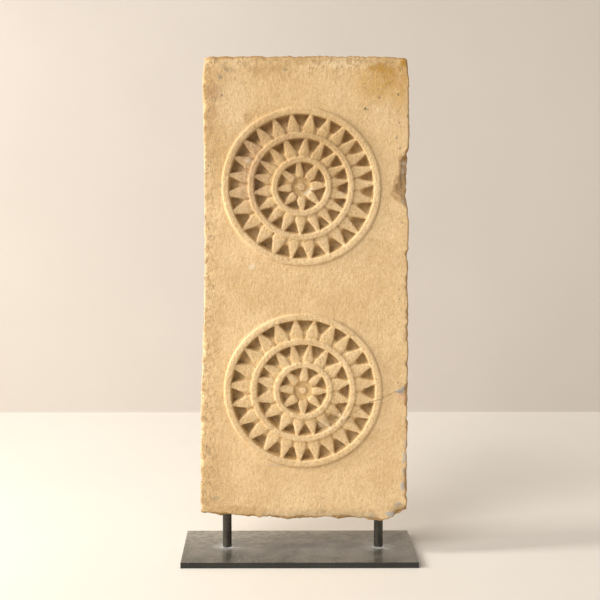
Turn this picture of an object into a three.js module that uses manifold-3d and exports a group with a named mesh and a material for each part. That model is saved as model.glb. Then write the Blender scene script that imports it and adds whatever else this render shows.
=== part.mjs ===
// A carved sandstone panel with two rosettes, held up by two round steel posts on a flat steel plate.
// Millimetres. x runs to the viewer's right, y away from the viewer, z up.
// The origin is the centre of the plate's underside. Turns are degrees clockwise from straight up.

import * as THREE from 'three';
import { mergeVertices } from 'three/addons/utils/BufferGeometryUtils.js';
import Module from 'manifold-3d';

const plate = { width: 324, depth: 150, thickness: 8, edge: 0.5 };
const post = { radius: 6.35, leftX: -100.9, rightX: 112.7, top: 119, sides: 32 };
const socket = { gap: 0.3, sides: 28 };
const slab = { thickness: 50, sideSteps: 22, dressing: 0.35, dressingWaves: 34 };

// The slab's four sides seen from the front, each from corner to corner: the foot and right side are broken.
const slabSides = {
  foot: [[-137.3, 63], [-121, 63.2], [-88, 59.3], [-54, 56.2], [1, 55], [46, 55], [91, 53], [113, 51.6],
    [124, 53], [136, 59], [150.6, 64.4]],
  right: [[150.6, 64.4], [149.9, 150], [150.3, 330], [148.7, 380], [149.8, 468], [146, 500], [146.4, 530],
    [149.2, 580], [147.9, 640], [147.4, 681]],
  top: [[147.4, 681], [140.4, 689.6], [119, 691.4], [76, 692.8], [0, 692.4], [-118, 692], [-128.6, 689.4]],
  left: [[-128.6, 689.4], [-132, 664], [-130.3, 580], [-129.6, 460], [-130.9, 340], [-135.2, 250],
    [-136.7, 140], [-137.3, 63]],
};

const relief = {
  petalRise: 0.8, ringRise: 3, ringBevel: 2, ringDraft: 1.4, ringRoot: 14,
  outerDepth: 10, innerDepth: 10, starDepth: 8.5, floorShare: 0.78, tipShare: 0.18, underRing: 2.4,
};
const groove = { width: 3.2, depth: 2.6 };
const dish = { radius: 13.6, depth: 5.2 };
const boss = { radius: 4.6, height: 3.6 };

// Ring sizes are the inner radius, the outer radius, and how far the hand-cut circle is shifted and oval.
// Petal turns are an even spread from a first turn, with the drift of the hand layout as waves round it.
const rosettes = [
  {
    x: 2.9, z: 516.1,
    rings: [
      { inner: 99.1, outer: 107.4, segments: 75, shift: [0.1, -112], oval: [0.6, -111] },
      { inner: 65.3, outer: 72.3, segments: 54, shift: [0.8, -46], oval: [0.5, -30] },
      { inner: 33.2, outer: 40.3, segments: 32, shift: [0.6, 29], oval: [0.5, 99] },
    ],
    bands: [
      { petals: 25, first: 3.6, drift: [[1, 3.96, -24], [2, 0.85, 80], [3, 0.64, 88]] },
      { petals: 18, first: 2.6, drift: [[1, 1.54, 22], [2, 2.1, 92], [3, 0.61, 89], [4, 0.76, 74]] },
      { petals: 8, first: -4.5, drift: [[1, 3.5, 170]] },
    ],
  },
  {
    x: 5.8, z: 234.6,
    rings: [
      { inner: 99.2, outer: 107.4, segments: 72, shift: [0.2, -74], oval: [0.8, -160] },
      { inner: 64.2, outer: 71.6, segments: 48, shift: [0.7, 2], oval: [0.3, -157] },
      { inner: 32.7, outer: 39.8, segments: 32, shift: [0, 0], oval: [0.4, 140] },
    ],
    bands: [
      { petals: 24, first: 6.1, drift: [[1, 3.66, 37]] },
      { petals: 16, first: 10.2, drift: [[2, 2.5, -155], [4, 0.8, -11]] },
      { petals: 8, first: 2.1, drift: [[1, 2, -60], [2, 1.2, 90]] },
    ],
  },
];

// How far in the deep pockets reach between the petals, and the groove that carries on from there.
const bandReach = [
  { apex: 80.5, apexWidth: 1.6, grooveEnd: 70.5, depth: relief.outerDepth, groove },
  { apex: 48.2, apexWidth: 2.6, grooveEnd: 39, depth: relief.innerDepth, groove },
  { apex: 18.5, apexWidth: 4.6, grooveEnd: 11.5, depth: relief.starDepth, groove: { width: 5, depth: 5 } },
];

// Lumps knocked off the arrises: centre, half sizes, and turn in degrees.
const chips = [
  { at: [151, -25, 527], size: [15, 8, 36], turn: 4 },
  { at: [147, -26, 502], size: [9, 6, 14], turn: -12 },
  { at: [149, -26, 234], size: [10, 3.5, 9], turn: 30 },
  { at: [146, -27, 62], size: [16, 10, 12], turn: 25 },
  { at: [147, -25, 689], size: [9, 9, 6], turn: -30 },
  { at: [-130, -26, 689], size: [7, 8, 6], turn: 30 },
];
const footBreak = { fromX: -70, toX: 122, height: 17, run: 7 };

const stoneColor = 0xdcb683;
const postColor = 0x45413a;
const plateColor = 0x7b7264;

const radians = THREE.MathUtils.degToRad;
const frontY = -slab.thickness / 2;
const backY = slab.thickness / 2;
const petalY = frontY - relief.petalRise;
const ringY = frontY - relief.ringRise;

const wasm = await Module();
wasm.setup();

// A closed geometry as a solid that can be joined and cut.
function toSolid(geometry) {
  const bare = geometry.index ? geometry.toNonIndexed() : geometry.clone();
  bare.deleteAttribute('normal');
  bare.deleteAttribute('uv');
  const merged = mergeVertices(bare, 1e-4);
  return new wasm.Manifold(new wasm.Mesh({
    numProp: 3,
    vertProperties: new Float32Array(merged.attributes.position.array),
    triVerts: new Uint32Array(merged.index.array),
  }));
}

// The solid's triangles as a geometry again.
function toGeometry(solid) {
  const mesh = solid.getMesh();
  const geometry = new THREE.BufferGeometry();
  geometry.setAttribute('position', new THREE.BufferAttribute(mesh.vertProperties, 3));
  geometry.setIndex(new THREE.BufferAttribute(mesh.triVerts, 1));
  return geometry;
}

// A flat outline in the picture plane, carried towards the viewer from startY over the given length.
function slabOf(outline, startY, length) {
  const shape = new THREE.Shape(outline.map(([x, z]) => new THREE.Vector2(x, z)));
  const geometry = new THREE.ExtrudeGeometry(shape, { depth: length, bevelEnabled: false, steps: 1 });
  geometry.rotateX(Math.PI / 2);
  geometry.translate(0, startY, 0);
  return geometry;
}

// One side of the slab: evenly spaced points along its line, pushed in and out a little by the chisel.
function dressedSide(corners, phase) {
  const line = new THREE.CurvePath();
  for (let i = 1; i < corners.length; i += 1) {
    const from = new THREE.Vector2(...corners[i - 1]);
    const to = new THREE.Vector2(...corners[i]);
    line.add(new THREE.LineCurve(from, to));
  }
  const points = [];
  for (let i = 0; i < slab.sideSteps; i += 1) {
    const share = i / slab.sideSteps;
    const point = line.getPointAt(share);
    const swing = share * slab.dressingWaves;
    const fade = Math.min(1, share * slab.sideSteps);
    const push = slab.dressing * fade * (Math.sin(swing + phase) + Math.sin(swing * 2.6));
    points.push([point.x + push, point.y + push]);
  }
  return points;
}

function slabBlock() {
  const sides = [slabSides.foot, slabSides.right, slabSides.top, slabSides.left];
  const outline = sides.flatMap((corners, index) => dressedSide(corners, index));
  return toSolid(slabOf(outline, backY, slab.thickness));
}

// Where the centre lines of a band's petals point.
function petalTurns(band) {
  const turns = [];
  for (let i = 0; i < band.petals; i += 1) {
    const even = band.first + (i * 360) / band.petals;
    const drift = band.drift.reduce(
      (sum, [waves, amount, peak]) => sum + amount * Math.cos(radians(waves * even - peak)),
      0,
    );
    turns.push(even + drift);
  }
  return turns;
}

// How far a hand-cut ring strays outwards from its true circle at a turn given in radians.
function stray(ring, turn) {
  const [shift, shiftPeak] = ring.shift;
  const [oval, ovalPeak] = ring.oval;
  return shift * Math.cos(turn - radians(shiftPeak)) + oval * Math.cos(2 * turn - radians(ovalPeak));
}

function polar(radius, turn) {
  return [radius * Math.sin(turn), radius * Math.cos(turn)];
}

// A profile turned about the rosette's axis. Its points are radius and y, from the deepest to the front.
function turned(profile, segments) {
  const points = profile.map(([radius, y]) => new THREE.Vector2(radius, y)).reverse();
  return new THREE.LatheGeometry(points, segments);
}

// A raised ring with bevelled arrises, rooted in the stone behind it and following its hand-cut circle.
function ringSolid(ring) {
  const rootY = petalY + relief.ringRoot;
  const geometry = turned([
    [ring.inner - relief.ringDraft, rootY],
    [ring.outer, rootY],
    [ring.outer, petalY + relief.petalRise],
    [ring.outer - relief.ringBevel, ringY],
    [ring.inner + relief.ringDraft / 2, ringY],
    [ring.inner - relief.ringDraft, rootY],
  ], ring.segments);
  const position = geometry.attributes.position;
  for (let i = 0; i < position.count; i += 1) {
    const turn = Math.atan2(position.getX(i), position.getZ(i));
    const radius = Math.hypot(position.getX(i), position.getZ(i));
    const [x, z] = polar(radius + stray(ring, turn), turn);
    position.setX(i, x);
    position.setZ(i, z);
  }
  return toSolid(geometry);
}

// The deep pocket between two petals: a pointed outline that narrows towards its floor.
function pocketSolid(ring, reach, fromTurn, toTurn) {
  const tip = (toTurn - fromTurn) * relief.tipShare * 0.5;
  const middle = (fromTurn + toTurn) / 2;
  const outer = ring.inner + relief.underRing;
  const halfApex = reach.apexWidth / 2 / reach.apex;
  const outline = [
    polar(outer + stray(ring, fromTurn), fromTurn + tip),
    polar(outer + stray(ring, toTurn), toTurn - tip),
    polar(reach.apex, middle + halfApex),
    polar(reach.apex, middle - halfApex),
  ].reverse();
  const depth = reach.depth + relief.petalRise;
  const geometry = slabOf(outline, petalY + reach.depth, depth + 1);
  const position = geometry.attributes.position;
  const [middleX, middleZ] = polar(outer, middle);
  for (let i = 0; i < position.count; i += 1) {
    if (position.getY(i) > petalY + 1) {
      position.setX(i, middleX + (position.getX(i) - middleX) * relief.floorShare);
      position.setZ(i, middleZ + (position.getZ(i) - middleZ) * relief.floorShare);
    }
  }
  return toSolid(geometry);
}

// The shallow groove from a pocket's inner point to the next ring, a V in section.
function grooveSolid(reach, turn) {
  const overlap = 3;
  const lift = 0.6;
  const { width, depth } = reach.groove;
  const half = (width / 2) * (1 + lift / depth);
  const section = new THREE.Shape([
    new THREE.Vector2(-half, lift),
    new THREE.Vector2(0, -depth),
    new THREE.Vector2(half, lift),
  ]);
  const outerEnd = reach.apex + overlap;
  const length = outerEnd - reach.grooveEnd;
  const geometry = new THREE.ExtrudeGeometry(section, { depth: length, bevelEnabled: false, steps: 1 });
  geometry.applyMatrix4(new THREE.Matrix4().makeBasis(
    new THREE.Vector3(1, 0, 0),
    new THREE.Vector3(0, -1, 0),
    new THREE.Vector3(0, 0, -1),
  ));
  geometry.translate(0, petalY, outerEnd);
  geometry.rotateY(turn);
  return toSolid(geometry);
}

// Everything cut out of one band: a pocket and a groove between each petal and the next.
function bandCuts(band, ring, reach) {
  const turns = petalTurns(band).map(radians);
  const cuts = [];
  turns.forEach((turn, index) => {
    const next = index + 1 < turns.length ? turns[index + 1] : turns[0] + 2 * Math.PI;
    cuts.push(pocketSolid(ring, reach, turn, next));
    cuts.push(grooveSolid(reach, (turn + next) / 2));
  });
  return cuts;
}

// The shallow bowl in the heart of the rosette.
function dishSolid() {
  return toSolid(turned([
    [0, petalY + dish.depth],
    [dish.radius * 0.55, petalY + dish.depth * 0.85],
    [dish.radius * 0.9, petalY + dish.depth * 0.4],
    [dish.radius, petalY - 1],
    [0, petalY - 1],
  ], 24));
}

// The small round boss that stands in the bowl.
function bossSolid() {
  const top = petalY + dish.depth - boss.height;
  return toSolid(turned([
    [0, petalY + dish.depth + 3],
    [boss.radius, petalY + dish.depth + 3],
    [boss.radius, petalY + dish.depth - boss.height * 0.4],
    [boss.radius * 0.62, top + 0.5],
    [0, top],
  ], 16));
}

// The stone with one rosette worked into its face.
function carveRosette(stone, rosette) {
  const place = (solid) => solid.translate([rosette.x, 0, rosette.z]);
  const petalDisc = toSolid(turned([
    [0, frontY + 3],
    [rosette.rings[0].inner + 3, frontY + 3],
    [rosette.rings[0].inner + 3, petalY],
    [0, petalY],
  ], rosette.rings[0].segments));
  let carved = stone.add(place(petalDisc));
  const cuts = rosette.bands.flatMap((band, index) => bandCuts(band, rosette.rings[index], bandReach[index]));
  cuts.push(dishSolid());
  carved = carved.subtract(place(wasm.Manifold.union(cuts)));
  rosette.rings.forEach((ring) => {
    carved = carved.add(place(ringSolid(ring)));
  });
  return carved.add(place(bossSolid()));
}

// A lump broken off an arris: a coarse ellipsoid.
function chipSolid(chip) {
  const geometry = new THREE.SphereGeometry(1, 12, 8);
  geometry.scale(...chip.size);
  geometry.rotateY(radians(chip.turn));
  geometry.translate(...chip.at);
  return toSolid(geometry);
}

// The front arris of the foot is broken back in one long slope.
function footBreakSolid() {
  const clear = 2;
  const low = Math.min(...slabSides.foot.map(([, z]) => z)) - clear;
  const section = new THREE.Shape([
    new THREE.Vector2(frontY - clear, low),
    new THREE.Vector2(frontY + footBreak.run, low),
    new THREE.Vector2(frontY - clear, low + footBreak.height),
  ]);
  const length = footBreak.toX - footBreak.fromX;
  const geometry = new THREE.ExtrudeGeometry(section, { depth: length, bevelEnabled: false, steps: 1 });
  geometry.applyMatrix4(new THREE.Matrix4().makeBasis(
    new THREE.Vector3(0, 1, 0),
    new THREE.Vector3(0, 0, 1),
    new THREE.Vector3(1, 0, 0),
  ));
  geometry.translate(footBreak.fromX, 0, 0);
  return toSolid(geometry);
}

// The blind hole in the underside that takes a post, a little wider and deeper than the bar.
function socketSolid(x) {
  const bottom = Math.min(...slabSides.foot.map(([, z]) => z)) - 1;
  const top = post.top + socket.gap;
  const radius = (post.radius + socket.gap) / Math.cos(Math.PI / socket.sides);
  const geometry = new THREE.CylinderGeometry(radius, radius, top - bottom, socket.sides);
  geometry.rotateX(Math.PI / 2);
  geometry.translate(x, 0, (top + bottom) / 2);
  return toSolid(geometry);
}

function stonePanel() {
  let stone = slabBlock();
  rosettes.forEach((rosette) => {
    stone = carveRosette(stone, rosette);
  });
  const losses = chips.map(chipSolid);
  losses.push(footBreakSolid(), socketSolid(post.leftX), socketSolid(post.rightX));
  stone = stone.subtract(wasm.Manifold.union(losses));
  const material = new THREE.MeshStandardMaterial({ color: stoneColor, roughness: 0.9, metalness: 0 });
  const mesh = new THREE.Mesh(toGeometry(stone), material);
  mesh.name = 'stone_panel';
  return mesh;
}

function steelPost(name, x) {
  const height = post.top - plate.thickness;
  const geometry = new THREE.CylinderGeometry(post.radius, post.radius, height, post.sides);
  geometry.rotateX(Math.PI / 2);
  const material = new THREE.MeshStandardMaterial({ color: postColor, roughness: 0.45, metalness: 0.8 });
  const mesh = new THREE.Mesh(geometry, material);
  mesh.position.set(x, 0, plate.thickness + height / 2);
  mesh.name = name;
  return mesh;
}

// The flat plate, with its sharp edges just taken off.
function basePlate() {
  const halfWidth = plate.width / 2;
  const halfDepth = plate.depth / 2;
  const outline = new THREE.Shape([
    new THREE.Vector2(-halfWidth, -halfDepth),
    new THREE.Vector2(halfWidth, -halfDepth),
    new THREE.Vector2(halfWidth, halfDepth),
    new THREE.Vector2(-halfWidth, halfDepth),
  ]);
  const geometry = new THREE.ExtrudeGeometry(outline, {
    depth: plate.thickness - 2 * plate.edge,
    bevelThickness: plate.edge,
    bevelSize: plate.edge,
    bevelOffset: -plate.edge,
    bevelSegments: 1,
  });
  geometry.translate(0, 0, plate.edge);
  const material = new THREE.MeshStandardMaterial({ color: plateColor, roughness: 0.5, metalness: 0.7 });
  const mesh = new THREE.Mesh(geometry, material);
  mesh.name = 'base_plate';
  return mesh;
}

const panelOnStand = new THREE.Group();
panelOnStand.add(
  stonePanel(),
  steelPost('post_left', post.leftX),
  steelPost('post_right', post.rightX),
  basePlate(),
);

export default panelOnStand;
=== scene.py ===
import math

import bpy
import numpy as np
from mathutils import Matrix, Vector


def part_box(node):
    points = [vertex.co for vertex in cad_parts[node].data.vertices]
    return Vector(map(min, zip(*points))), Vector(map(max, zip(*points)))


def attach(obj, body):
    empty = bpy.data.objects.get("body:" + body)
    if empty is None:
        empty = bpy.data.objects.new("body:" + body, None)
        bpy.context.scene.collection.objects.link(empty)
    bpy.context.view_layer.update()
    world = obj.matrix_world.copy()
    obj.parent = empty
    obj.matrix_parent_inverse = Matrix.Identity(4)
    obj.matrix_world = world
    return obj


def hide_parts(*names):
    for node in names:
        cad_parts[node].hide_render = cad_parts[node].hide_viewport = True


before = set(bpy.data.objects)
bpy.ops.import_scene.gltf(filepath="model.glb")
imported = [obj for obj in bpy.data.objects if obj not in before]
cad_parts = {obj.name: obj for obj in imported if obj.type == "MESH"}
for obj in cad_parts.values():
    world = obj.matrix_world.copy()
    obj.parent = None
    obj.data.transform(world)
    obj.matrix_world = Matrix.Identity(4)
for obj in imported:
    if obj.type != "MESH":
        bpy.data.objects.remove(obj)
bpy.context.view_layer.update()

# A carved sandstone panel with two rosettes on a steel stand. The frame is in metres, z up, and the carved
# face looks along -y. The carving below is worked out in millimetres, and turns are degrees clockwise from
# straight up.
mm = 0.001


# Camera and light

cameraPlace = {
    "at": (-0.0376, -1.7778, 0.5595),
    "pitch": 4.858,  # degrees down
    "yaw": 0.318,  # degrees to the right
    "focalPixels": 1284.7,
    "imageWidth": 600,
    "shift": (0.035, -0.06),
}


def makeCamera(place):
    data = bpy.data.cameras.new("camera")
    data.sensor_width = 36.0
    data.lens = place["focalPixels"] * data.sensor_width / place["imageWidth"]
    data.shift_x, data.shift_y = place["shift"]
    camera = bpy.data.objects.new("camera", data)
    pitch, yaw = math.radians(place["pitch"]), math.radians(place["yaw"])
    forward = Vector((math.sin(yaw) * math.cos(pitch), math.cos(yaw) * math.cos(pitch), -math.sin(pitch)))
    camera.location = place["at"]
    camera.rotation_mode = "QUATERNION"
    camera.rotation_quaternion = forward.to_track_quat("-Z", "Y")
    bpy.context.scene.collection.objects.link(camera)
    bpy.context.scene.camera = camera


# The key gives the shade in the pockets. The window grazes the face from the left and lights its rims.
lights = {
    "key": {"kind": "SUN", "at": (-1.25, -1.5, 1.55), "aim": (0.0, 0.0, 0.375), "angle": 36.0, "power": 2.0,
            "color": (1.0, 0.97, 0.93)},
    "window": {"kind": "AREA", "at": (-1.75, -0.33, 1.05), "aim": (0.0, 0.0, 0.35), "size": (0.35, 0.6),
               "power": 34, "color": (1.0, 0.97, 0.92)},
}
worldLight = {"color": (1.0, 0.965, 0.93), "strength": 0.34}


def makeLight(name, values):
    data = bpy.data.lights.new(name, values["kind"])
    if values["kind"] == "SUN":
        data.angle = math.radians(values["angle"])
    else:
        data.shape = "RECTANGLE"
        data.size, data.size_y = values["size"]
    data.energy = values["power"]
    data.color = values["color"]
    lamp = bpy.data.objects.new(name, data)
    lamp.location = values["at"]
    aim = Vector(values["aim"]) - Vector(values["at"])
    lamp.rotation_mode = "QUATERNION"
    lamp.rotation_quaternion = aim.to_track_quat("-Z", "Y")
    bpy.context.scene.collection.objects.link(lamp)


def makeWorld(values):
    world = bpy.data.worlds.new("studio")
    world.use_nodes = True
    background = world.node_tree.nodes["Background"]
    background.inputs["Color"].default_value = (*values["color"], 1)
    background.inputs["Strength"].default_value = values["strength"]
    bpy.context.scene.world = world


# The stone: sizes

panel = {
    "ringRise": 3.0, "petalRise": 0.8, "arris": 2.1,
    "outlineRough": 0.42, "footRough": 0.6,
    "middleZ": 375.0, "columns": 640, "seenFromSide": 145.0, "seenFromEnd": 176.0,
    "wall": ((1.1, 0.2), (0.3, 0.8), (0.0, 2.2), (0.0, 6.0), (0.0, 11.0), (0.0, 18.0)),
    "wallBack": ((0.0, 26.0), (0.0, 34.0), (0.0, 42.0), (0.25, 48.4), (1.0, 49.7)),
    "backInset": 3.0, "topZ": 685.0, "chipStretch": 1.6, "chipDeep": 14.0, "backEdgeFrom": 45.0,
    "fieldSteps": (0.05, 0.11, 0.18, 0.27, 0.37, 0.48, 0.59, 0.7, 0.79, 0.87, 0.94, 1.0),
}

# Wear of the outline: size, seed and octaves of the noise, then for the last two the level that it has to
# rise above and its height. Nibbles are stronger on the top edge.
outlineWear = {"wave": (9, 301, 3), "bay": (14, 311, 2, 0.55, 3.2), "nibble": (4.5, 321, 3, 0.3, 1.0),
               "nibbleShare": 0.5, "nibbleTop": 1.2}

panelSides = {
    "top": ((-128.6, 689.4), (-118, 692), (0, 692.4), (76, 692.8), (119, 691.4), (141, 690.4),
            (145.6, 687.4)),
    "right": ((150.6, 64.4), (149.9, 150), (150.3, 330), (148.7, 380), (149.8, 468), (146, 500), (146.4, 530),
              (149.2, 580), (148.6, 640), (148.8, 662), (146.4, 672), (145.6, 687.4)),
    "foot": ((-137.3, 63), (-121, 63.2), (-88, 59.3), (-54, 56.2), (1, 55), (46, 55), (91, 53), (113, 51.6),
             (124, 53), (136, 59), (150.6, 64.4)),
    "left": ((-137.3, 63), (-136.7, 140), (-135.2, 250), (-130.9, 340), (-129.6, 460), (-130.3, 580),
             (-132, 664), (-128.6, 689.4)),
}

# Ring: inner and outer radius, then how far the hand-cut circle is shifted and oval, as amount and turn.
# Band: petals, first petal's turn, then the drift of the hand layout as waves, amount and turn.
rosettes = (
    {
        "x": 2.9, "z": 516.1, "seed": 21,
        "corners": (72, 244, 400, 568),
        "rings": (
            {"inner": 99.1, "outer": 107.4, "shift": (0.1, -112), "oval": (0.6, -111)},
            {"inner": 65.3, "outer": 72.3, "shift": (0.8, -46), "oval": (0.5, -30)},
            {"inner": 33.2, "outer": 40.3, "shift": (0.6, 29), "oval": (0.5, 99)},
        ),
        "bands": (
            {"petals": 25, "first": 3.6, "drift": ((1, 3.96, -24), (2, 0.85, 80), (3, 0.64, 88))},
            {"petals": 18, "first": 2.6, "drift": ((1, 1.54, 22), (2, 2.1, 92), (3, 0.61, 89),
                                                   (4, 0.76, 74))},
            {"petals": 8, "first": -4.5, "drift": ((1, 3.5, 170),)},
        ),
    },
    {
        "x": 5.8, "z": 234.6, "seed": 34,
        "corners": (80, 248, 392, 564),
        "rings": (
            {"inner": 99.2, "outer": 107.4, "shift": (0.2, -74), "oval": (0.8, -160)},
            {"inner": 64.2, "outer": 71.6, "shift": (0.7, 2), "oval": (0.3, -157)},
            {"inner": 32.7, "outer": 39.8, "shift": (0.0, 0), "oval": (0.4, 140)},
        ),
        "bands": (
            {"petals": 24, "first": 6.1, "drift": ((1, 3.66, 37),)},
            {"petals": 16, "first": 10.2, "drift": ((2, 2.5, -155), (4, 0.8, -11))},
            {"petals": 8, "first": 2.1, "drift": ((1, 2.0, -60), (2, 1.2, 90))},
        ),
    },
)

# How each band is cut, from the outer one in. The pocket's half width runs from its ring to its inner point.
bandCuts = (
    {"apex": 79.8, "apexHalf": 2.3, "depth": 11.5, "tip": 0.1, "bulge": 0.0, "draft": 2.2, "plunge": 3.0,
     "rows": 12, "grooveEnd": 1.5, "grooveDepth": (1.5, 0.8), "fractions": (0.13, 0.17, 0.27)},
    {"apex": 47.2, "apexHalf": 1.9, "depth": 11.0, "tip": 0.1, "bulge": 0.0, "draft": 1.9, "plunge": 2.8,
     "rows": 11, "grooveEnd": 1.4, "grooveDepth": (1.5, 0.8), "fractions": (0.13, 0.17, 0.27)},
    {"apex": 18.8, "apexHalf": 1.5, "depth": 9.5, "tip": 0.1, "bulge": 0.2, "draft": 1.6, "plunge": 2.0,
     "rows": 9, "grooveEnd": 1.5, "grooveDepth": (3.4, 2.6), "fractions": (0.13, 0.18, 0.27)},
)
# Faults of the carver's hand, the rings' wobble, and the crease at each inner ring's foot with its painted
# shade.
handCut = {"turn": 0.5, "apex": 1.2, "depth": 1.3, "level": 0.25, "blunt": 2.4,
           "ringWobble": 0.25, "wobbleWaves": 4, "wobbleWidth": 25, "steadyRadius": 30,
           "crease": 0.4, "creaseWidth": 4.0, "creaseShade": 0.75}

# A pocket's section, in mm or as shares of its half width: the bevel at its lip, its floor, the groove that
# runs on from its inner point, and how it gets deeper outwards.
pocketSection = {
    "bevel": 0.55, "bevelLeast": 0.12, "bevelGap": 0.3, "bevelDrop": 0.5, "bevelEdge": 0.25, "least": 0.5,
    "floorLeast": 0.18, "grooveRun": 0.12, "grooveFloor": 0.45, "petalCrown": 0.3,
    "shallow": 0.8, "deepFrom": 0.7, "plungeFrom": 0.95,
}

# Distance in from the outer edge, how much of the ground's level is left, hold on the petals' turns.
ringSection = {
    "outer": ((-1.4, 1.0, 1.0), (-0.9, 0.82, 0.9), (-0.4, 0.42, 0.8), (0.1, 0.12, 0.6), (1.0, 0.0, 0.3)),
    # distance out from the inner edge, drop below the crown, hold on the petals' turns
    "inner": ((1.4, 0.1, 0.45), (0.7, 0.25, 0.7), (0.2, 0.65, 0.9), (-0.1, 1.2, 1.0)),
    # distance in from the inner edge, share of the way down to the band's floor
    "wall": ((0.6, 0.22), (1.1, 0.42), (1.6, 0.62), (2.1, 0.8), (2.7, 0.94), (3.3, 1.0)),
    # the crown between them: its outer and inner margins, half width, drops, and how worn it looks
    "margins": (1.2, 1.4), "crownHalf": 0.5, "crownDrops": (0.08, 0.12), "crownEdge": 0.3,
    # lipShade: painted shade on the ring's inner lip, given through the hollow mask.
    "footEdge": 0.9, "wallEdge": 0.7, "lipShade": 0.25,
}

# The bowl in the heart: radius and depth, then the boss with its drilled pit.
heartRows = ((13.3, 0.3), (12.7, 1.9), (11.7, 3.5), (9.8, 4.3), (7.8, 4.5))
bossRows = ((6.5, 4.3), (5.9, 3.6), (5.3, 2.4), (4.3, 1.5), (2.8, 1.05), (1.5, 1.1), (0.8, 1.5))
bossPit = 1.8
# Shares of dirt and painted shade, given through the hollow mask, in the bowl, at the boss's foot and in its
# pit; shares of the edge mask; and how far the band laps onto the bowl, in mm.
heartShade = {"bowl": 0.3, "edge": 0.5, "boss": 0.25, "bossEdge": 0.6, "pit": 0.6, "lap": 0.4}

zones = {"front": 0, "side": 1, "back": 2}

# Lumps broken off: centre and half sizes of the hollow, and the way that the broken face was pushed back.
chips = (
    {"at": (151, -25, 527), "size": (15, 8, 36), "push": (-1, 0.8, 0)},
    {"at": (147, -26, 502), "size": (9, 6, 14), "push": (-1, 0.8, 0)},
    {"at": (149, -26, 234), "size": (10, 3.5, 9), "push": (-0.5, 1, 0)},
    {"at": (146, -27, 62), "size": (16, 10, 12), "push": (-0.4, 1, 0.6)},
    {"at": (147, -26, 514), "size": (15, 6, 13), "push": (-1, 0.9, 0)},
    {"at": (-130, -26, 689), "size": (7, 8, 6), "push": (1, 0.8, -0.8)},
)
chipNoise = {"share": 0.16, "noise": (11, 517, 2)}
footBreak = {"fromX": -70, "toX": 122, "low": 49.6, "height": 15, "run": 5.8, "easeLeft": 24, "easeRight": 12,
             "rough": 0.9, "noise": (13, 611, 3), "clear": 1.3, "under": 90}


# The stone: noise and small helpers

def smooth(share):
    # Eases 0 to 1 with a level start and end: 3 s squared less 2 s cubed.
    share = np.clip(share, 0, 1)
    return share * share * (3 - 2 * share)


def noise(points, size, seed):
    # Random values at the corners of a cubic lattice, eased from corner to corner, from -1 to 1.
    table = np.random.default_rng(seed).random(4096) * 2 - 1
    scaled = points / np.asarray(size, float)
    cell = np.floor(scaled).astype(np.int64)
    part = smooth(scaled - cell)
    total = np.zeros(len(points))
    for corner in range(8):
        step = np.array((corner & 1, corner >> 1 & 1, corner >> 2 & 1))
        key = (cell + step) * np.array((73856093, 19349663, 83492791))
        weight = np.prod(np.where(step == 1, part, 1 - part), axis=1)
        total += weight * table[(key[:, 0] ^ key[:, 1] ^ key[:, 2]) % 4096]
    return total


def rough(points, size, seed, octaves=3):
    # Noise added to itself at half the size and half the height, octave by octave.
    size = np.asarray(size, float)
    total = np.zeros(len(points))
    for octave in range(octaves):
        total += noise(points, size / 2 ** octave, seed + octave) / 2 ** octave
    return total


def peaks(points, size, seed, octaves, above, height):
    # What of the noise rises above a level, and zero elsewhere.
    return np.maximum(rough(points, size, seed, octaves) - above, 0) * height


def flat(x, z):
    # Points on the xz plane.
    return np.stack((x, np.zeros_like(x), z), axis=1)


def spread(start, end, centre, near, count):
    # Places from start to end that are seen at even turns from a point at the given distance.
    turns = np.linspace(math.atan((start - centre) / near), math.atan((end - centre) / near), count + 1)
    return centre + near * np.tan(turns)


def along(side, places, axis):
    # The side's other coordinate at each place, straight from one named point to the next.
    corners = np.array(sorted(panelSides[side], key=lambda point: point[axis]), float)
    return np.interp(places, corners[:, axis], corners[:, 1 - axis])


# The stone: the outline as one loop, clockwise from the top left corner

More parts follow.
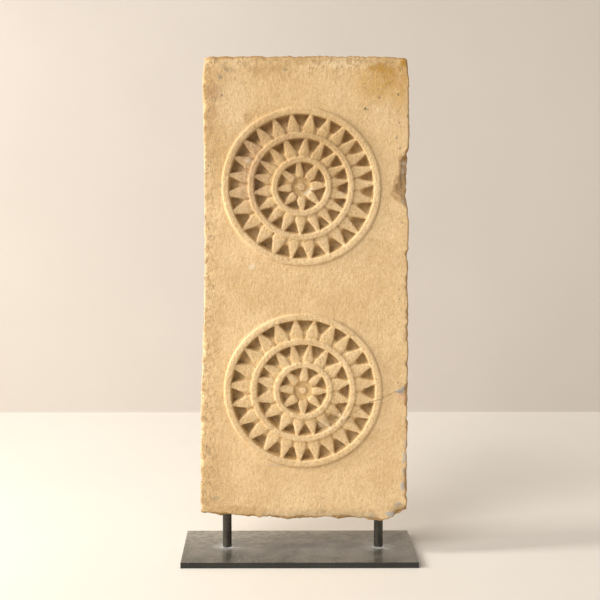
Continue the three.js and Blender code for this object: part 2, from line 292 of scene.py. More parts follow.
def outlineLoop():
    upper, lower = rosettes
    middle = panel["middleZ"]
    topLeft, topRight = panelSides["top"][0], panelSides["top"][-1]
    footLeft, footRight = panelSides["foot"][0], panelSides["foot"][-1]
    columns = panel["columns"]
    upperRight, upperMidRight, upperMidLeft, upperLeft = upper["corners"]
    lowerMidRight, lowerRight, lowerLeft, lowerMidLeft = lower["corners"]
    reach, reachEnd = panel["seenFromSide"], panel["seenFromEnd"]
    runs = (
        ("top", spread(topLeft[0], topRight[0], upper["x"], reachEnd, upperRight + columns - upperLeft), 0),
        ("right", spread(topRight[1], middle, upper["z"], reach, upperMidRight - upperRight), 1),
        ("right", spread(middle, footRight[1], lower["z"], reach, lowerRight - lowerMidRight), 1),
        ("foot", spread(footRight[0], footLeft[0], lower["x"], reachEnd, lowerLeft - lowerRight), 0),
        ("left", spread(footLeft[1], middle, lower["z"], reach, lowerMidLeft - lowerLeft), 1),
        ("left", spread(middle, topLeft[1], upper["z"], reach, upperLeft - upperMidLeft), 1),
    )
    points, footShare, starts = [], [], [0]
    for side, places, axis in runs:
        other = along(side, places, axis)
        pair = np.stack((places, other) if axis == 0 else (other, places), axis=1)[:-1]
        points.append(pair)
        footShare.append(np.full(len(pair), 1.0 if side == "foot" else 0.0))
        starts.append(starts[-1] + len(pair))
    loop = np.concatenate(points)
    footShare = np.concatenate(footShare)
    ahead, behind = np.roll(loop, -3, axis=0), np.roll(loop, 3, axis=0)
    tangent = ahead - behind
    tangent /= np.linalg.norm(tangent, axis=1, keepdims=True)
    inward = np.stack((tangent[:, 1], -tangent[:, 0]), axis=1)
    place = flat(loop[:, 0], loop[:, 1])
    nibbles = peaks(place, *outlineWear["nibble"])
    nibbles *= outlineWear["nibbleShare"] + outlineWear["nibbleTop"] * (loop[:, 1] > panel["topZ"])
    amount = panel["outlineRough"] * (1 - footShare) + panel["footRough"] * footShare
    push = amount * rough(place, *outlineWear["wave"]) + peaks(place, *outlineWear["bay"])
    loop = loop + inward * (push + nibbles)[:, None]
    return loop, inward, starts


# The stone: one rosette

def petalTurns(band):
    # An even spread of turns, moved by waves round the circle.
    even = band["first"] + np.arange(band["petals"]) * 360 / band["petals"]
    drift = sum(amount * np.cos(np.radians(waves * even - peak)) for waves, amount, peak in band["drift"])
    return even + drift


def stray(ring, turn):
    # How far the hand-cut circle strays outwards at each turn in radians.
    shift, shiftPeak = ring["shift"]
    oval, ovalPeak = ring["oval"]
    return shift * np.cos(turn - math.radians(shiftPeak)) + oval * np.cos(2 * turn - math.radians(ovalPeak))


def layOut(band, cut, ring, columns, rng):
    # Gives every petal and pocket its own columns of the grid and its own small faults of the hand.
    turns = np.radians(petalTurns(band))
    count = len(turns)
    nextTurns = np.append(turns[1:], turns[0] + 2 * math.pi)
    first = np.round(turns * columns / (2 * math.pi)).astype(int)
    span = np.append(first[1:], first[0] + columns) - first
    bevel, edge, floor = cut["fractions"]
    shares = np.array((0, bevel, edge, floor, 1 - floor, 1 - edge, 1 - bevel))
    marks = first[:, None] + np.round(span[:, None] * shares[None, :])
    half = (nextTurns - turns) / 2
    return {
        "columns": columns, "marks": marks, "turns": turns, "half": half,
        "middle": (nextTurns + turns) / 2 + rng.uniform(-1, 1, count) * handCut["turn"] / cut["apex"],
        "ringHalf": ring["inner"] * half * (1 - cut["tip"]) - rng.random(count) ** 3 * handCut["blunt"],
        "apex": cut["apex"] + rng.uniform(-1, 1, count) * handCut["apex"],
        "apexHalf": cut["apexHalf"] * rng.uniform(0.8, 1.25, count),
        "depth": cut["depth"] + rng.uniform(-1, 1, count) * handCut["depth"],
        "level": rng.uniform(-1, 1, count) * handCut["level"],
        "tilt": rng.uniform(-1, 1, (count, 2)) * handCut["level"],
        "ring": ring, "cut": cut,
    }


def wrapped(layout, values, turn):
    # Values at the marks, carried to every column round the circle.
    columns = layout["columns"]
    marks = layout["marks"].ravel()
    values = values.ravel()
    marks = np.concatenate((marks[-7:] - columns, marks, marks[:7] + columns))
    values = np.concatenate((values[-7:] - turn, values, values[:7] + turn))
    return np.interp(np.arange(columns), marks, values)


def bandRow(layout, radius):
    # One row of a band: each column's turn, its depth, how hollow it is and how much it is an edge.
    cut, ring, section = layout["cut"], layout["ring"], pocketSection
    reach = np.clip((radius - layout["apex"]) / (ring["inner"] - layout["apex"]), 0, 1)
    inside = np.clip((layout["apex"] - radius) / (section["grooveRun"] * cut["apex"]), 0, 1)
    top = layout["apexHalf"] + (layout["ringHalf"] - layout["apexHalf"]) * reach
    top -= cut["bulge"] * 4 * reach * (1 - reach)
    top = np.where(inside > 0, layout["apexHalf"] + (cut["grooveEnd"] - layout["apexHalf"]) * inside, top)
    top = np.maximum(top, section["least"])
    floor = np.maximum(top - cut["draft"], section["floorLeast"] * top)
    floor = np.where(inside > 0, section["grooveFloor"] * top, floor)
    bevel = np.minimum(top + section["bevel"], layout["half"] * radius - section["bevelGap"])
    bevel = np.maximum(bevel, top + section["bevelLeast"])
    angles = np.stack((bevel, top, floor), axis=1) / radius
    middle = layout["middle"][:, None]
    turns = np.concatenate((layout["turns"][:, None], middle - angles, middle + angles[:, ::-1]), axis=1)
    grooveDepth = cut["grooveDepth"][0] + (cut["grooveDepth"][1] - cut["grooveDepth"][0]) * inside
    deepening = (1 - section["shallow"]) * smooth(reach / section["deepFrom"])
    full = layout["depth"] * (section["shallow"] + deepening)
    down = smooth((top - layout["apexHalf"] * section["plungeFrom"]) / cut["plunge"])
    pocket = grooveDepth + (full - grooveDepth) * down
    pocket = np.where(inside > 0, grooveDepth, pocket)
    level = -panel["petalRise"] + layout["level"]
    nextLevel = np.roll(level, -1)
    nearSide, farSide = level + layout["tilt"][:, 0], nextLevel + layout["tilt"][:, 1]
    drop = section["bevelDrop"]
    depth = np.stack((level - section["petalCrown"], nearSide, nearSide + drop, pocket, pocket,
                      farSide + drop,
                      farSide), axis=1)
    hollow = smooth(pocket / cut["depth"])
    nothing = np.zeros_like(hollow)
    hollows = np.stack((nothing, nothing, nothing, hollow, hollow, nothing, nothing), axis=1)
    lip, bevelled = nothing + 1, nothing + section["bevelEdge"]
    edges = np.stack((nothing, bevelled, lip, nothing, nothing, lip, bevelled), axis=1)
    return (wrapped(layout, turns, 2 * math.pi), wrapped(layout, depth, 0),
            wrapped(layout, hollows, 0), wrapped(layout, edges, 0))


def rosetteRows(rosette):
    # The carving row by row from the outer ring's foot to the boss: places on the face, depth and two masks.
    rng = np.random.default_rng(rosette["seed"])
    crown = -panel["ringRise"]
    columns = panel["columns"]
    section = ringSection
    layouts = []
    for index, (band, cut, ring) in enumerate(zip(rosette["bands"], bandCuts, rosette["rings"])):
        layouts.append(layOut(band, cut, ring, columns >> index, rng))
    rows = []

    def evenTurns(count):
        return np.arange(count) * 2 * math.pi / count

    def add(radius, turn, depth, hollow, edge, strayHere):
        waves = handCut["wobbleWaves"]
        circle = np.stack((np.cos(turn) * waves, np.sin(turn) * waves,
                           np.full_like(turn, radius / handCut["wobbleWidth"])), axis=1)
        wobble = handCut["ringWobble"] * noise(circle, 1, rosette["seed"])
        far = radius + (strayHere + wobble) * min(1, radius / handCut["steadyRadius"])
        rows.append({
            "x": rosette["x"] + far * np.sin(turn), "z": rosette["z"] + far * np.cos(turn),
            "depth": depth, "hollow": hollow, "edge": edge,
        })

    for index, ring in enumerate(rosette["rings"]):
        evenOuter = evenTurns(columns >> max(index - 1, 0))
        evenInner = evenTurns(columns >> index)
        nothing = np.zeros_like(evenOuter)
        for distance, ground, hold in section["outer"]:
            radius = ring["outer"] - distance
            if index == 0:
                turn, base, hollow, edge = evenOuter, nothing, nothing, nothing
            else:
                turn, base, hollow, edge = bandRow(layouts[index - 1], radius)
                turn = evenOuter + (turn - evenOuter) * hold
            depth = crown + (base - crown) * ground
            shine = nothing + section["footEdge"] * (0.1 < ground < 0.6)
            add(radius, turn, depth, hollow * ground, np.maximum(edge * ground, shine), stray(ring, turn))
        outerMargin, innerMargin = section["margins"]
        top = (ring["outer"] - outerMargin + ring["inner"] + innerMargin) / 2
        crownHalf, crownEdge = section["crownHalf"], section["crownEdge"]
        firstDrop, secondDrop = section["crownDrops"]
        add(top + crownHalf, evenOuter, nothing + crown + firstDrop, nothing, nothing + crownEdge,
            stray(ring, evenOuter))
        layout = layouts[index]
        none = np.zeros_like(evenInner)
        if index > 0:
            add(top - crownHalf, evenInner, none + crown + secondDrop, none, none + crownEdge,
                stray(ring, evenInner))
        for distance, drop, hold in section["inner"]:
            turn = bandRow(layout, ring["inner"])[0]
            turn = evenInner + (turn - evenInner) * hold
            # The lowest rows of the inner lip take painted shade through the hollow mask.
            add(ring["inner"] + distance, turn, none + crown + drop,
                none + section["lipShade"] * (drop > 0.6),
                none + crownEdge + section["wallEdge"] * (drop > 0.3), stray(ring, turn))
        lip = crown + section["inner"][-1][1]
        for distance, share in section["wall"]:
            radius = ring["inner"] - distance
            turn, base, hollow, edge = bandRow(layout, radius)
            add(radius, turn, lip + (base - lip) * share, hollow * share ** 2, edge * share,
                stray(ring, turn))
        start = ring["inner"] - section["wall"][-1][0]
        nextRing = rosette["rings"][index + 1] if index < 2 else None
        end = nextRing["outer"] - section["outer"][0][0] if nextRing else heartRows[0][0] + heartShade["lap"]
        rowCount = bandCuts[index]["rows"]
        for step in range(1, rowCount + 1):
            share = step / (rowCount + (1 if nextRing else 0))
            radius = start + (end - start) * share
            turn, base, hollow, edge = bandRow(layout, radius)
            strayHere = stray(ring, turn) * (1 - share)
            if nextRing:
                strayHere = strayHere + stray(nextRing, turn) * share
                # The crease at the next ring's foot: the face sinks a little and takes painted shade through
                # the hollow mask.
                crease = smooth(1 - (radius - end) / handCut["creaseWidth"])
                base = base + handCut["crease"] * crease
                hollow = np.maximum(hollow, handCut["creaseShade"] * crease)
            add(radius, turn, base, hollow, edge, strayHere)

    # The heart: the bowl, the boss's lowest rows and the rim of its pit take dirt and painted shade through the
    # hollow mask.
    layout = layouts[2]
    even = evenTurns(layout["columns"])
    for step, (radius, depth) in enumerate(heartRows):
        turn, base, hollow, edge = bandRow(layout, radius)
        hold = 1 - (step + 1) / len(heartRows)
        turn = even + (turn - even) * hold
        add(radius, turn, np.maximum(base, depth), hollow * hold + heartShade["bowl"],
            edge * hold * heartShade["edge"], np.zeros_like(even))
    even = evenTurns(layout["columns"] // 2)
    none = np.zeros_like(even)
    for radius, depth in bossRows:
        shade = heartShade["boss"] if depth > 3 or radius < 1 else 0.0
        add(radius, even, none + depth, none + shade, none + heartShade["bossEdge"] * (depth < 2), none)
    return rows


def cellBoundary(rosette, inset, starts, upper):
    # The cell's outer edge, column by column: three sides on the outline and one on the shared middle line.
    columns = panel["columns"]
    edge = np.zeros((columns, 2))
    corners = rosette["corners"]
    leftEnd, rightEnd = inset[starts[5]], inset[starts[2]]
    near = (rosettes[0]["z"] - rosettes[1]["z"]) / 2
    middleCount = corners[2] - corners[1] if upper else corners[0] + columns - corners[3]
    share = spread(0.0, 1.0, 0.5, near / (rightEnd[0] - leftEnd[0]), middleCount)
    middle = leftEnd + (rightEnd - leftEnd) * share[:, None]

    def fill(column, points):
        places = (column + np.arange(len(points))) % columns
        edge[places] = points

    if upper:
        fill(corners[3], inset[starts[0]:starts[1]])
        fill(corners[0], inset[starts[1]:starts[2]])
        fill(corners[1], middle[::-1][:-1])
        fill(corners[2], inset[starts[5]:])
    else:
        fill(corners[0], inset[starts[2]:starts[3]])
        fill(corners[1], inset[starts[3]:starts[4]])
        fill(corners[2], inset[starts[4]:starts[5]])
        fill(corners[3], middle[:-1])
    return edge


class Grid:
    # Collects rows of points and the faces between them.
    def __init__(self):
        self.points, self.masks, self.quads, self.triangles, self.size = [], [], [], [], 0

    def row(self, x, y, z, hollow, edge, zone):
        count = len(x)
        fullMask = [np.broadcast_to(np.asarray(value, float), count) for value in (hollow, edge, zone)]
        self.points.append(np.stack((x, np.broadcast_to(y, count), z), axis=1))
        self.masks.append(np.stack(fullMask, axis=1))
        start = self.size
        self.size += count
        return start, count

    def join(self, outer, inner, flip=False):
        # Quads between rows of equal length, or three triangles to each column where the inner row has half.
        outerStart, outerCount = outer
        innerStart, innerCount = inner
        here = np.arange(innerCount)
        after = (here + 1) % innerCount
        if outerCount == innerCount:
            faces = np.stack((outerStart + here, innerStart + here, innerStart + after, outerStart + after),
                             axis=1)
            self.quads.append(faces[:, ::-1] if flip else faces)
            return
        left, middle = outerStart + 2 * here, outerStart + 2 * here + 1
        right = outerStart + (2 * here + 2) % outerCount
        low, high = innerStart + here, innerStart + after
        for corners in ((left, low, middle), (middle, low, high), (middle, high, right)):
            faces = np.stack(corners, axis=1)
            self.triangles.append(faces[:, ::-1] if flip else faces)

    def fan(self, outer, centre):
        start, count = outer
        here = np.arange(count)
        faces = np.stack((start + here, np.full(count, centre[0]), start + (here + 1) % count), axis=1)
        self.triangles.append(faces)


def cellRows(grid, rosette, edge, front):
    # Joins the outline to the outer ring with rows that go from rectangle to circle, then the carving inside.
    rows = rosetteRows(rosette)
    first = rows[0]
    previous = None
    for share in panel["fieldSteps"][::-1]:
        x = first["x"] + (edge[:, 0] - first["x"]) * share
        z = first["z"] + (edge[:, 1] - first["z"]) * share
        current = grid.row(x, front, z, 0, 0, zones["front"])
        if previous:
            grid.join(previous, current)
        previous = current
    for values in rows:
        current = grid.row(values["x"], front + values["depth"], values["z"], values["hollow"],
                           values["edge"],
                           zones["front"])
        grid.join(previous, current)
        previous = current
    # The pit at the boss's centre takes dirt and painted shade through the hollow mask.
    pole = grid.row(np.array([rosette["x"]]), front + bossPit, np.array([rosette["z"]]),
                    heartShade["pit"], 0, zones["front"])
    grid.fan(previous, pole)


def wallRows(grid, loop, inward, chipShare, front, back):
    # The sides: the outline carried back in rows, halved twice on the way, up to the edge of the back. The
    # first four rows, the arris, go further in and back where the edge is chipped.
    previous = None
    more = panel["chipStretch"] * chipShare
    rows = [(panel["arris"], 0.0)] + list(panel["wall"])
    arrisRows, frontRows = 4, 3
    for number, (inset, depth) in enumerate(rows):
        here = loop + inward * (inset * (1 + more))[:, None]
        drop = depth * (1 + more * (1 if number < arrisRows else max(0, 1 - depth / panel["chipDeep"])))
        current = grid.row(here[:, 0], front + drop, here[:, 1], 0, 0 < number < arrisRows,
                           zones["front"] if number < frontRows else zones["side"])
        if previous:
            grid.join(previous, current, flip=True)
        previous = current
    for inset, depth in panel["wallBack"]:
        here = (loop + inward * inset)[::2]
        current = grid.row(here[:, 0], front + depth, here[:, 1], 0, depth > panel["backEdgeFrom"],
                           zones["side"])
        grid.join(previous, current, flip=True)
        previous = current
    here = (loop + inward * panel["backInset"])[::4]
    last = grid.row(here[:, 0], back, here[:, 1], 0, 0, zones["back"])
    grid.join(previous, last, flip=True)
    return here


def backPatch(grid, border, starts, back):
    # The back: each point is the two straight blends between opposite sides, less the blend of the corners.
    top = border[0:starts[1] // 4 + 1]
    right = border[starts[1] // 4:starts[3] // 4 + 1]
    foot = border[starts[3] // 4:starts[4] // 4 + 1][::-1]
    left = np.concatenate((border[starts[4] // 4:], border[:1]))[::-1]
    right, left = right[::-1], left[::-1]
    u = np.linspace(0, 1, len(top))[None, :, None]
    v = np.linspace(0, 1, len(left))[:, None, None]
    blend = (1 - v) * foot[None] + v * top[None] + (1 - u) * left[:, None] + u * right[:, None]
    corner = (1 - u) * (1 - v) * foot[0] + u * (1 - v) * foot[-1] + (1 - u) * v * top[0] + u * v * top[-1]
    patch = blend - corner
    rows, count = patch.shape[:2]
    start, _ = grid.row(patch[:, :, 0].ravel(), back, patch[:, :, 1].ravel(), 0, 0, zones["back"])
    index = start + np.arange(rows * count).reshape(rows, count)
    faces = np.stack((index[:-1, :-1], index[1:, :-1], index[1:, 1:], index[:-1, 1:]), axis=2).reshape(-1, 4)
    grid.quads.append(faces)


def weld(points, quads, triangles):
    # Points that fall together become one.
    keys = np.round(points * 1000).astype(np.int64)
    _, firsts, back = np.unique(keys, axis=0, return_index=True, return_inverse=True)
    back = back.ravel()
    return firsts, back[quads], back[triangles]


def vertexNormals(points, quads, triangles):
    # Each face's normal, as long as its area, is added to its corners.
    normals = np.zeros_like(points)
    for faces in (quads, triangles):
        a, b, c = points[faces[:, 0]], points[faces[:, 1]], points[faces[:, -1]]
        middle = points[faces[:, 2]]
        face = np.cross(middle - a, c - b) if faces.shape[1] == 4 else np.cross(b - a, c - a)
        for corner in range(faces.shape[1]):
            np.add.at(normals, faces[:, corner], face)
    return normals / np.maximum(np.linalg.norm(normals, axis=1, keepdims=True), 1e-9)


def knockOff(points, chip):
    # Points inside the hollow go along the push until they lie on its far wall.
    centre, size = np.array(chip["at"], float), np.array(chip["size"], float)
    way = np.array(chip["push"], float)
    way /= np.linalg.norm(way)
    size = size * (1 + chipNoise["share"] * rough(points, *chipNoise["noise"]))[:, None]
    place = (points - centre) / size
    step = way / size
    a = (step ** 2).sum(1)
    b = (place * step).sum(1)
    c = (place ** 2).sum(1) - 1
    inside = c < 0
    travel = np.zeros(len(points))
    travel[inside] = (-b[inside] + np.sqrt(b[inside] ** 2 - a[inside] * c[inside])) / a[inside]
    return points + way * travel[:, None], inside


def breakFoot(points, front):
    # Everything in front of a slanting broken face goes back onto it.
    normal = np.array((0.0, -footBreak["height"], -footBreak["run"]))
    normal /= np.linalg.norm(normal)
    start = np.array((0.0, front, footBreak["low"] + footBreak["height"]))
    over = (points - start) @ normal + footBreak["rough"] * rough(points, *footBreak["noise"])
    ends = smooth((points[:, 0] - footBreak["fromX"]) / footBreak["easeLeft"])
    ends *= smooth((footBreak["toX"] - points[:, 0]) / footBreak["easeRight"])
    over -= (1 - ends) * footBreak["run"] * footBreak["clear"]
    hit = (over > 0) & (points[:, 2] < footBreak["under"])
    return points - normal * np.where(hit, over, 0)[:, None], hit


def makeMesh(name, points, quads, triangles):
    mesh = bpy.data.meshes.new(name)
    mesh.vertices.add(len(points))
    mesh.vertices.foreach_set("co", (points * mm).astype(np.float32).ravel())
    corners = np.concatenate((quads.ravel(), triangles.ravel())).astype(np.int32)
    mesh.loops.add(len(corners))
    mesh.loops.foreach_set("vertex_index", corners)
    quadStarts = np.arange(len(quads)) * 4
    starts = np.concatenate((quadStarts, len(quads) * 4 + np.arange(len(triangles)) * 3)).astype(np.int32)
    mesh.polygons.add(len(starts))
    mesh.polygons.foreach_set("loop_start", starts)
    mesh.update(calc_edges=True)
    mesh.validate()
    mesh.polygons.foreach_set("use_smooth", np.ones(len(starts), bool))
    return mesh


# A crack runs in from the right edge, through the lower rosette's outer band, as x and z in turn.
crackLine = ((150.5, 236.5), (147.6, 235.7), (136.6, 232.9), (125.5, 228.7), (111.7, 223.1), (100.7, 218.9),
             (86.9, 210.6), (73.1, 202.2), (63.5, 192.3), (51.1, 182.5))
crackCut = {"half": 1.2, "depth": 0.3, "ragged": 1.8, "size": 6, "seeds": (811, 812)}

# Grey mortar fills or bridges: the middle, its half sizes, and the depth that it fills up to.
mortarFills = (
    {"at": (36, 187), "size": (13, 10), "depth": 4.6},
    {"at": (143, 543), "size": (4.5, 13), "depth": 2.0},
)

# Petals rubbed or knocked back: the middle, half sizes and depth lost.
losses = (
    {"at": (45, 196), "size": (14, 10), "depth": 4.2},
    {"at": (59, 203), "size": (9, 7), "depth": 3.0},
    {"at": (76, 196), "size": (12, 8), "depth": 1.6},
    {"at": (56, 187), "size": (9, 6), "depth": 1.6},
    {"at": (-60, 545), "size": (30, 45), "depth": 0.35},
)
# A grain of mortar on the lower rosette's outer ring.
lump = {"at": (-28.4, 331.8), "size": 3.0, "height": 1.0}
blotchRim = {"ragged": 0.3, "size": 7, "from": 0.55, "width": 0.6}
lossWear = {"seed": 821, "least": 0.6, "swing": 0.6, "grain": 4, "grainSeed": 831, "octaves": 3,
            "inPockets": 3.5}
fillWear = {"seed": 841, "swing": 0.7, "grain": 8, "grainSeed": 851, "octaves": 3}

# The skin: how far each kind of surface is lifted by noise in mm, then the noise's size, seed and octaves.
skin = {
    "field": (0.22, 24, 701, 2), "grain": (0.1, 5, 711, 3), "grainInPockets": 0.25,
    "side": (0.7, (14, 14, 9), 721, 4), "sideUnder": 1.6, "back": (1.1, (22, 22, 15), 731, 3),
    "backSunk": 0.6, "broken": (0.55, 4.5, 741, 3), "chipped": (17, 401, 3, 0.15, 1 / 0.6),
    "clearOfTop": 0.05,
}


def crackNearness(points):
    # One on the crack line and zero further off than its half width, from the distance to each straight part.
    sway = [noise(points, crackCut["size"], seed) for seed in crackCut["seeds"]]
    moved = points[:, (0, 2)] + crackCut["ragged"] * np.stack(sway, axis=1)
    nearest = np.full(len(points), 1e9)
    for start, end in zip(crackLine[:-1], crackLine[1:]):
        start, way = np.array(start), np.subtract(end, start)
        share = np.clip((moved - start) @ way / (way @ way), 0, 1)
        nearest = np.minimum(nearest, np.linalg.norm(moved - start - share[:, None] * way, axis=1))
    return 1 - smooth(nearest / crackCut["half"])


def blotch(points, patch, seed):
    # One in the middle of a ragged ellipse on the face, eased to zero at its rim.
    away = (points[:, (0, 2)] - patch["at"]) / np.broadcast_to(patch["size"], 2)
    uneven = 1 + blotchRim["ragged"] * rough(points, blotchRim["size"], seed, 2)
    distance = np.linalg.norm(away, axis=1) * uneven
    return 1 - smooth((distance - blotchRim["from"]) / blotchRim["width"])


def lifted(points, values):
    # Noise as high as the first value, with the others as its size, seed and octaves.
    return values[0] * rough(points, *values[1:])


def layStone(front, back):
    # The whole closed surface before it is damaged: places, masks, quads and triangles.
    loop, inward, starts = outlineLoop()
    chipShare = smooth(peaks(flat(loop[:, 0], loop[:, 1]), *skin["chipped"]))
    inset = loop + inward * (panel["arris"] * (1 + panel["chipStretch"] * chipShare))[:, None]
    grid = Grid()
    for rosette, upper in zip(rosettes, (True, False)):
        cellRows(grid, rosette, cellBoundary(rosette, inset, starts, upper), front)
    border = wallRows(grid, loop, inward, chipShare, front, back)
    backPatch(grid, border, starts, back)
    points, masks = np.concatenate(grid.points), np.concatenate(grid.masks)
    firsts, quads, triangles = weld(points, np.concatenate(grid.quads), np.concatenate(grid.triangles))
    print("stone grid:", len(firsts), "points,", 2 * len(quads) + len(triangles), "triangles")
    return points[firsts], masks[firsts], quads, triangles


def wearFace(points, isFront, front):
    # Changes the depth of the carved face: losses sink it, apart from the pockets, mortar fills it, and the
    # crack and the lump are added.
    def grain(values, number):
        return values["swing"] * rough(points, values["grain"], values["grainSeed"] + number, values["octaves"])

    depth = points[:, 1] - front
    for number, loss in enumerate(losses):
        share = blotch(points, loss, lossWear["seed"] + number) * isFront * (depth < lossWear["inPockets"])
        depth = depth + loss["depth"] * share * (lossWear["least"] + grain(lossWear, number))
    for number, fill in enumerate(mortarFills):
        share = blotch(points, fill, fillWear["seed"] + number) * isFront
        level = fill["depth"] + grain(fillWear, number)
        depth = np.where(depth > level, depth + (level - depth) * share, depth)
    crack = crackNearness(points) * isFront
    away = ((points[:, (0, 2)] - lump["at"]) ** 2).sum(1)
    share = np.exp(-away / lump["size"] ** 2)
    return depth + crackCut["depth"] * crack - lump["height"] * share * isFront, crack


def makeStone(material):
    low, high = (np.array(corner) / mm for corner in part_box("stone_panel"))
    front, back = low[1] + panel["ringRise"], high[1]
    points, masks, quads, triangles = layStone(front, back)
    hollow, edge, zone = masks.T
    isFront, isSide, isBack = (zone == zones[name] for name in ("front", "side", "back"))
    depth, crack = wearFace(points, isFront, front)
    points[:, 1] = np.where(isFront, front + depth, points[:, 1])
    broken = np.zeros(len(points), bool)
    for chip in chips:
        points, hit = knockOff(points, chip)
        broken |= hit
    points, hit = breakFoot(points, front)
    broken |= hit
    normals = vertexNormals(points, quads, triangles)
    under = 1 + skin["sideUnder"] / skin["side"][0] * np.clip(-normals[:, 2], 0, 1)
    inPockets = 1 + skin["grainInPockets"] / skin["grain"][0] * hollow
    lift = isFront * (lifted(points, skin["field"]) + lifted(points, skin["grain"]) * inPockets)
    lift += isSide * lifted(points, skin["side"]) * under
    lift += isBack * (lifted(points, skin["back"]) - skin["backSunk"])
    lift += broken * lifted(points, skin["broken"])
    points = points + normals * lift[:, None]
    points[:, 2] = np.minimum(points[:, 2], high[2] - skin["clearOfTop"])

    mesh = makeMesh("carved_panel", points, quads, triangles)
    for name, values in (("hollow", hollow), ("edge", edge), ("broken", broken), ("crack", crack)):
        layer = mesh.attributes.new(name, "FLOAT", "POINT")
        layer.data.foreach_set("value", values.astype(np.float32))
    stone = bpy.data.objects.new("carved_panel", mesh)
    bpy.context.scene.collection.objects.link(stone)
    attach(stone, "root")
    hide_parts("stone_panel")
    mesh.materials.append(material)


# The floor

floorValues = {
    "size": 6.0, "behind": 0.98, "wallHeight": 3.0, "bend": 0.006,
    "floorColor": (0.80, 0.755, 0.685), "wallColor": (0.56, 0.51, 0.46), "rough": 0.9,
    "cloud": (3.0, 4.0, 0.6), "cloudTone": (0.10, 0.95), "ahead": 4.8, "bendSteps": 13,
}


def makeFloor(values):
    # A sheet that runs flat, bends through a quarter circle and rises: a profile carried along x.
    half = values["size"] / 2
    bend, behind = values["bend"], values["behind"]
    arc = np.linspace(0, math.pi / 2, values["bendSteps"])
    profile = [(-values["ahead"], 0.0)]
    profile += [(behind - bend + bend * math.sin(turn), bend - bend * math.cos(turn)) for turn in arc]
    profile.append((behind, values["wallHeight"]))
    points = [(x, y, z) for y, z in profile for x in (-half, half)]
    faces = [(2 * i, 2 * i + 1, 2 * i + 3, 2 * i + 2) for i in range(len(profile) - 1)]
    mesh = bpy.data.meshes.new("studio_floor")
    mesh.from_pydata(points, [], faces)
    mesh.polygons.foreach_set("use_smooth", np.ones(len(faces), bool))
    floor = bpy.data.objects.new("studio_floor", mesh)
    bpy.context.scene.collection.objects.link(floor)
    material, shader, place = newMaterial("floor_paper")
    isWall = ramp(parts(place)[2], 0.0, values["bend"] / 3)
    color = mixColor(isWall, values["floorColor"], values["wallColor"])
    cloud = swing(noiseNode(place, *values["cloud"]), values["cloudTone"])
    feed(shader.inputs["Base Color"], mixColor(1.0, color, cloud, "MULTIPLY"))
    shader.inputs["Roughness"].default_value = values["rough"]
    # From behind, the wall is clear, so that the panel's back can be looked at.
    seenFromBehind = Value(newNode("NewGeometry", place).outputs["Backfacing"])
    feed(shader.inputs["Alpha"], 1.0 - isWall * seenFromBehind)
    mesh.materials.append(material)


# Materials: shader values and nodes

class Value:
    # A node's output that takes plain arithmetic: each sign adds a Math node of that kind.
    def __init__(self, socket):
        self.socket, self.tree = socket, socket.id_data

    def __add__(self, other):
        return calc("ADD", self, other)

    def __sub__(self, other):
        return calc("SUBTRACT", self, other)

    def __rsub__(self, other):
        return calc("SUBTRACT", other, self)

    def __mul__(self, other):
        return calc("MULTIPLY", self, other)

    def __pow__(self, other):
        return calc("POWER", self, other)

    def over(self, other):
        # The greater of two masks.
        return calc("MAXIMUM", self, other)

    def clamped(self):
        self.socket.node.use_clamp = True
        return self


def feed(socket, value):
    # A shader value is linked, and anything else is set as it is.
    if isinstance(value, Value):
        value.tree.links.new(value.socket, socket)
    elif value is not None:
        socket.default_value = value


def newNode(kind, *values):
    # A node in the tree that the values come from.
    tree = next(value.tree for value in values if isinstance(value, Value))
    return tree.nodes.new("ShaderNode" + kind)


def calc(operation, first, second):
    node = newNode("Math", first, second)
    node.operation = operation
    feed(node.inputs[0], first)
    feed(node.inputs[1], second)
    return Value(node.outputs[0])


def swing(value, pair):
    # The first number times the value, plus the second number.
    return value * pair[0] + pair[1]


def vectorCalc(operation, first, second=None, output="Vector"):
    node = newNode("VectorMath", first, second)
    node.operation = operation
    feed(node.inputs[0], first)
    feed(node.inputs[1], second)
    return Value(node.outputs[output])


def parts(vector, kind="XYZ"):
    node = newNode("Separate" + kind, vector)
    feed(node.inputs[0], vector)
    return [Value(output) for output in node.outputs]


def ramp(value, low, high):
    # 0 at the low value and 1 at the high one, eased between them.
    node = newNode("MapRange", value)
    node.interpolation_type = "SMOOTHSTEP"
    for name, what in (("Value", value), ("From Min", low), ("From Max", high)):
        feed(node.inputs[name], what)
    return Value(node.outputs["Result"])


def rampMm(value, span):
    # The same for a place in metres, from and to two places in millimetres.
    return ramp(value, span[0] * mm, span[1] * mm)


def mixColor(share, first, second, blend="MIX"):
    node = newNode("Mix", share, first, second)
    node.data_type = "RGBA"
    node.blend_type = blend
    factor, colorA, colorB = node.inputs[0], node.inputs[6], node.inputs[7]
    feed(factor, share)
    for socket, value in ((colorA, first), (colorB, second)):
        feed(socket, (*value, 1) if isinstance(value, tuple) else value)
    return Value(node.outputs[2])


def noiseNode(place, scale, detail, roughness, output="Fac"):
    node = newNode("TexNoise", place)
    for name, value in (("Vector", place), ("Scale", scale), ("Detail", detail), ("Roughness", roughness)):
        feed(node.inputs[name], value)
    return Value(node.outputs[output])


def attribute(place, name):
    node = newNode("Attribute", place)
    node.attribute_name = name
    return Value(node.outputs["Fac"])


def newMaterial(name):
    material = bpy.data.materials.new(name)
    material.use_nodes = True
    nodes = material.node_tree.nodes
    return material, nodes["Principled BSDF"], Value(nodes.new("ShaderNodeTexCoord").outputs["Object"])


def bump(shader, height, distance):
    node = newNode("Bump", height)
    node.inputs["Distance"].default_value = distance
    feed(node.inputs["Height"], height)
    feed(shader.inputs["Normal"], Value(node.outputs["Normal"]))


# Materials: the shared effects

